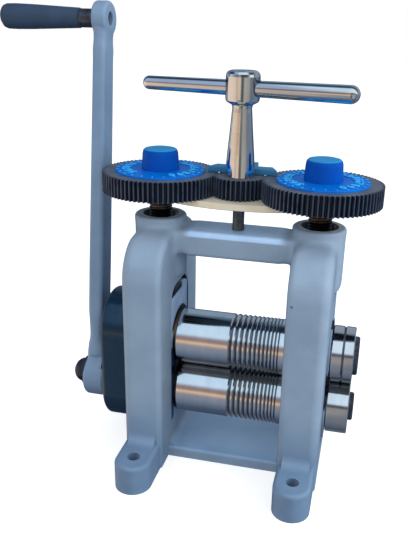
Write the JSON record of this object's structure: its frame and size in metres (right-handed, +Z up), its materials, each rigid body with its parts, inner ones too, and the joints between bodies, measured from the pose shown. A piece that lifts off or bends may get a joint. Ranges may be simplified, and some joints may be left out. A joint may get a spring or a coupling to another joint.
{
  "type": "jewellers rolling mill",
  "caption": "Bench rolling mill for jewellers: cast frame, flat and wire-grooved rolls coupled by gears, side crank, and a T handle that turns dial gears on lifting screws.",
  "frame": {"origin": "centre of the four bench bolt holes, on the underside of the feet", "axes": "+X along the rolls away from the crank, +Y from the operator's side to the back, +Z up along the lifting screws"},
  "size_m": [0.3471, 0.2002, 0.3929],
  "materials": {
    "frame_paint": "semi-gloss grey-blue enamel over a cast surface",
    "crank_paint": "semi-gloss grey-blue enamel over a cast surface",
    "cover_paint": "gloss black paint",
    "roll_steel": "mirror-ground hardened steel",
    "handle_chrome": "polished chrome",
    "gear_steel": "oil-blackened steel",
    "screw_steel": "oiled machined steel",
    "plate_zinc": "yellow passivated zinc",
    "keeper_blue": "moulded blue plastic",
    "dial_blue": "moulded blue plastic",
    "bronze": "turned bearing bronze",
    "block_iron": "milled cast iron",
    "spring_steel": "drawn spring wire",
    "black_steel": "blackened steel",
    "grip_plastic": "moulded black plastic"
  },
  "bodies": {
    "frame": {"frame": "frame_paint", "left_screw_nut": "bronze", "right_screw_nut": "bronze", "left_lower_block": "block_iron", "right_lower_block": "block_iron", "left_lower_bush": "bronze", "right_lower_bush": "bronze", "left_springs": "spring_steel", "right_springs": "spring_steel", "guide_pin": "black_steel", "gear_cover": "cover_paint", "cover_screws": "black_steel"},
    "carriage": {"left_upper_block": "block_iron", "right_upper_block": "block_iron", "left_upper_bush": "bronze", "right_upper_bush": "bronze", "link_plate": "plate_zinc", "keeper_bar": "keeper_blue", "keeper_post": "screw_steel", "keeper_screw": "black_steel"},
    "upper_roll": {"upper_roll": "roll_steel", "upper_side_roll": "roll_steel", "upper_side_key": "screw_steel", "upper_end_disc": "black_steel", "upper_end_screw": "black_steel", "upper_roll_gear": "gear_steel", "upper_gear_key": "screw_steel", "upper_circlip": "spring_steel"},
    "lower_roll": {"lower_roll": "roll_steel", "lower_side_roll": "roll_steel", "lower_side_key": "screw_steel", "lower_end_disc": "black_steel", "lower_end_screw": "black_steel", "lower_roll_gear": "gear_steel", "lower_gear_key": "screw_steel", "lower_circlip": "spring_steel", "crank_arm": "crank_paint", "crank_key": "screw_steel", "crank_nut": "black_steel", "grip_spindle": "black_steel"},
    "grip": {"grip": "grip_plastic"},
    "t_handle": {"drive_pinion": "gear_steel", "t_handle_stem": "handle_chrome", "t_handle_bar": "handle_chrome"},
    "left_screw": {"left_screw": "screw_steel", "left_dial_gear": "gear_steel", "left_dial_disc": "dial_blue", "left_dial_nut": "screw_steel", "left_dial_cap": "dial_blue"},
    "right_screw": {"right_screw": "screw_steel", "right_dial_gear": "gear_steel", "right_dial_disc": "dial_blue", "right_dial_nut": "screw_steel", "right_dial_cap": "dial_blue"}
  },
  "joints": [
    {"name": "lift", "type": "slide", "parent": "frame", "child": "carriage", "axis": [0, 0, 1], "range_m": [-0.00089, 0.00428], "deforming": ["left_springs", "right_springs"]},
    {"name": "upper_roll_turn", "type": "hinge", "parent": "carriage", "child": "upper_roll", "pos_m": [0, 0, 0.1075], "axis": [1, 0, 0], "continuous": true},
    {"name": "lower_roll_turn", "type": "hinge", "parent": "frame", "child": "lower_roll", "pos_m": [0, 0, 0.0565], "axis": [1, 0, 0], "continuous": true},
    {"name": "grip_turn", "type": "hinge", "parent": "lower_roll", "child": "grip", "pos_m": [-0.185, 0.04523, 0.37834], "axis": [1, 0, 0], "continuous": true},
    {"name": "t_handle_turn", "type": "hinge", "parent": "carriage", "child": "t_handle", "pos_m": [0, 0, 0.251], "axis": [0, 0, 1], "range_deg": [-1440, 300]},
    {"name": "left_screw_turn", "type": "hinge", "parent": "carriage", "child": "left_screw", "pos_m": [-0.06875, 0, 0.251], "axis": [0, 0, 1], "range_deg": [-128.6, 617.2]},
    {"name": "right_screw_turn", "type": "hinge", "parent": "carriage", "child": "right_screw", "pos_m": [0.06875, 0, 0.251], "axis": [0, 0, 1], "range_deg": [-128.6, 617.2]}
  ],
  "couplings": [
    {"joint": "upper_roll_turn", "follows": "lower_roll_turn", "ratio": -1},
    {"joint": "left_screw_turn", "follows": "lift", "rad_per_m": 2513.3},
    {"joint": "right_screw_turn", "follows": "lift", "rad_per_m": 2513.3},
    {"joint": "t_handle_turn", "follows": "lift", "rad_per_m": -5864.3}
  ]
}
